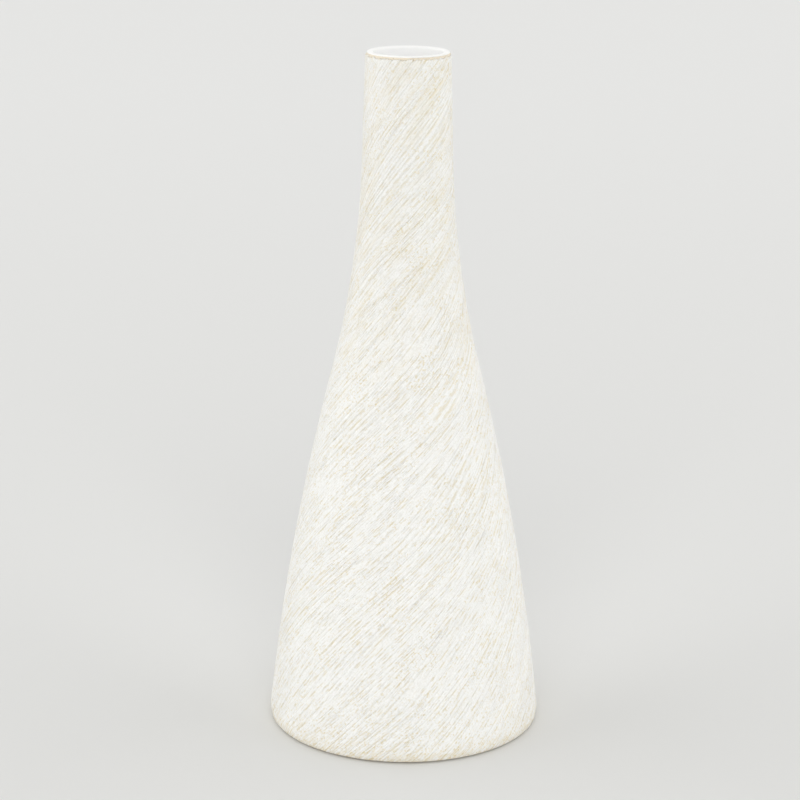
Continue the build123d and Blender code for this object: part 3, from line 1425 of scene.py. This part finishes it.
@dataclass
class FootPads:
    """Four felt pads in the hollow foot, stamped discs with soft edges and a fuzzy skin."""

    finish: WoolFelt = field(default_factory=WoolFelt)
    count: int = 4
    columns: int = 96
    rows: int = 40
    squareness: float = 9.0
    fuzz: float = 0.22 * MM
    fuzz_size: float = 0.9 * MM

    def build(self) -> list[bpy.types.Object]:
        """Builds the pads in the places of their solids and returns them."""
        tree = self.grow_tree(self.finish.material())
        return [self.build_pad(tree, number) for number in range(1, self.count + 1)]

    def values(self, node: str) -> dict[str, object]:
        """Lists the named inputs of a pad's tree.

        Args:
            node: solid that the pad takes the place of.

        Returns:
            Their values, by name.
        """
        low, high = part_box(node)
        return {
            "Center": tuple((Vector(low) + Vector(high)) / 2),
            "Radius": float(high[0] - low[0]) / 2,
            "Thickness": float(high[2] - low[2]),
            "Squareness": self.squareness,
            "Fuzz": self.fuzz,
            "Fuzz Size": self.fuzz_size,
            "Columns": self.columns,
            "Rows": self.rows,
        }

    def build_pad(self, tree: bpy.types.NodeTree, number: int) -> bpy.types.Object:
        """Builds one pad.

        Args:
            tree: tree that makes a pad.
            number: which pad, from 1.

        Returns:
            The finished piece, a plain mesh.
        """
        node = f"foot_pad_{number}"
        piece = grown_piece(f"felt_pad_{number}", tree, self.values(node))
        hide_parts(node)
        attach(piece, "root")
        return piece

    def grow_tree(self, material: bpy.types.Material) -> bpy.types.NodeTree:
        """Grows the tree that makes a pad.

        Args:
            material: finish of the pads.

        Returns:
            The tree.
        """
        tree, sheet = open_tree("felt_pad", self.values("foot_pad_1"))
        given = sheet.add("NodeGroupInput").outputs
        grid = unit_grid(sheet, given["Columns"], given["Rows"])
        across, up, _ = sheet.split(sheet.add("GeometryNodeInputPosition").outputs[0])
        turn = sheet.product(across, 2 * math.pi)
        rise = sheet.product(up, math.pi)
        power = sheet.math("DIVIDE", 2.0, given["Squareness"])
        sine = sheet.math("SINE", rise)
        reach = sheet.math("POWER", sheet.math("ABSOLUTE", sheet.math("COSINE", rise)), power)
        lift = sheet.math("POWER", sheet.math("ABSOLUTE", sine), power)
        lift = sheet.product(lift, sheet.math("SIGN", sine))
        out = sheet.join(sheet.math("COSINE", turn), sheet.math("SINE", turn))
        flat = sheet.vector("SCALE", out, sheet.product(reach, given["Radius"]))
        half = sheet.product(given["Thickness"], 0.5)
        body = sheet.vector("ADD", flat, sheet.join(0.0, 0.0, sheet.product(lift, half)))
        place = sheet.vector("ADD", body, given["Center"])
        node = sheet.add("ShaderNodeTexNoise", noise_dimensions="3D")
        sheet.feed(node.inputs["Vector"], place)
        sheet.feed(node.inputs["Scale"], sheet.math("DIVIDE", 1.0, given["Fuzz Size"]))
        sheet.feed(node.inputs["Detail"], 2.0)
        fuzz = sheet.product(sheet.minus(node.outputs[0], 1.0), given["Fuzz"])
        pushed = sheet.vector("SCALE", sheet.vector("NORMALIZE", body), fuzz)
        finish_tree(sheet, grid, sheet.vector("ADD", place, pushed), material)
        return tree


@dataclass(frozen=True)
class SoftLamp:
    """A broad, far lamp that lights the vase and the floor alike, with angles in degrees."""

    name: str
    side: float
    rise: float
    strength: float
    spread: float = 50.0

    def build(self) -> None:
        """Builds the lamp, a turn to the right of the front and a rise above the floor."""
        data = bpy.data.lights.new(self.name, "SUN")
        data.energy = self.strength
        data.angle = math.radians(self.spread)
        lamp = bpy.data.objects.new(self.name, data)
        lamp.rotation_euler = (math.radians(90.0 - self.rise), 0.0, math.radians(self.side))
        bpy.context.scene.collection.objects.link(lamp)


@dataclass
class Studio:
    """Pale paper floor, soft light from all round, and the photograph's camera."""

    floor_finish: PaleFloor = field(default_factory=PaleFloor)
    floor_half: float = 12.0
    sky_color: Color = (1.0, 1.0, 0.99, 1.0)
    sky_strength: float = 0.36
    sky_seen: float = 0.79
    lamps: tuple[SoftLamp, ...] = (
        SoftLamp("left_lamp", -92.0, 11.0, 1.70, 85.0),
        SoftLamp("right_lamp", 92.0, 11.0, 1.54, 85.0),
        SoftLamp("front_lamp", 0.0, 25.0, 1.24, 45.0),
        SoftLamp("back_lamp", 180.0, 40.0, 0.70, 80.0),
    )
    camera_place: tuple[float, float, float] = (-0.0040, -1.6321, 0.68476)
    camera_tilt: float = 0.2746
    camera_roll: float = 0.0066
    camera_lens: float = 113.34

    def build(self) -> None:
        """Builds the floor, the light and the camera."""
        self.lay_floor()
        self.light()
        self.aim_camera()

    def lay_floor(self) -> None:
        """Lays the floor."""
        half = self.floor_half
        corners = [(-half, -half, 0), (half, -half, 0), (half, half, 0), (-half, half, 0)]
        mesh = bpy.data.meshes.new("paper_floor")
        mesh.from_pydata(corners, [], [(0, 1, 2, 3)])
        mesh.materials.append(self.floor_finish.material())
        floor = bpy.data.objects.new("paper_floor", mesh)
        bpy.context.scene.collection.objects.link(floor)

    def light(self) -> None:
        """Lights the scene with an even sky, seen as pale as the floor, and broad soft lamps."""
        scene = bpy.context.scene
        scene.world = bpy.data.worlds.new("even_sky")
        scene.world.use_nodes = True
        sheet = NodeSheet(scene.world.node_tree)
        paths = sheet.add("ShaderNodeLightPath").outputs
        seen = sheet.most(
            paths["Is Camera Ray"], paths["Is Glossy Ray"], paths["Is Transmission Ray"]
        )
        sky = scene.world.node_tree.nodes["Background"]
        sky.inputs["Color"].default_value = self.sky_color
        strength = sheet.ease(seen, 0.0, 1.0, self.sky_strength, self.sky_seen)
        sheet.feed(sky.inputs["Strength"], strength)
        for lamp in self.lamps:
            lamp.build()

    def aim_camera(self) -> None:
        """Sets the camera at the photograph's angle, with plain colours."""
        scene = bpy.context.scene
        data = bpy.data.cameras.new("photo_camera")
        data.lens = self.camera_lens
        camera = bpy.data.objects.new("photo_camera", data)
        camera.location = self.camera_place
        camera.rotation_euler = (math.pi / 2 - self.camera_tilt, 0.0, 0.0)
        camera.rotation_euler.rotate_axis("Z", self.camera_roll)
        scene.collection.objects.link(camera)
        scene.camera = camera
        scene.view_settings.view_transform = "Standard"


def corners(box: tuple) -> list[list[float]]:
    """Turns the two corners of a box into plain lists."""
    return [[float(value) for value in corner] for corner in box]


def main() -> None:
    """Builds and dresses the vase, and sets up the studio."""
    logging.basicConfig(level=logging.INFO, format="%(name)s: %(message)s")
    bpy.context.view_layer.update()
    pieces = [SlipCoat().build(), *Pot().dress(), *FootPads().build()]
    for piece in pieces:
        log.info("%s has %d faces", piece.name, len(piece.data.polygons))
    Studio().build()


if __name__ == "__main__":
    main()
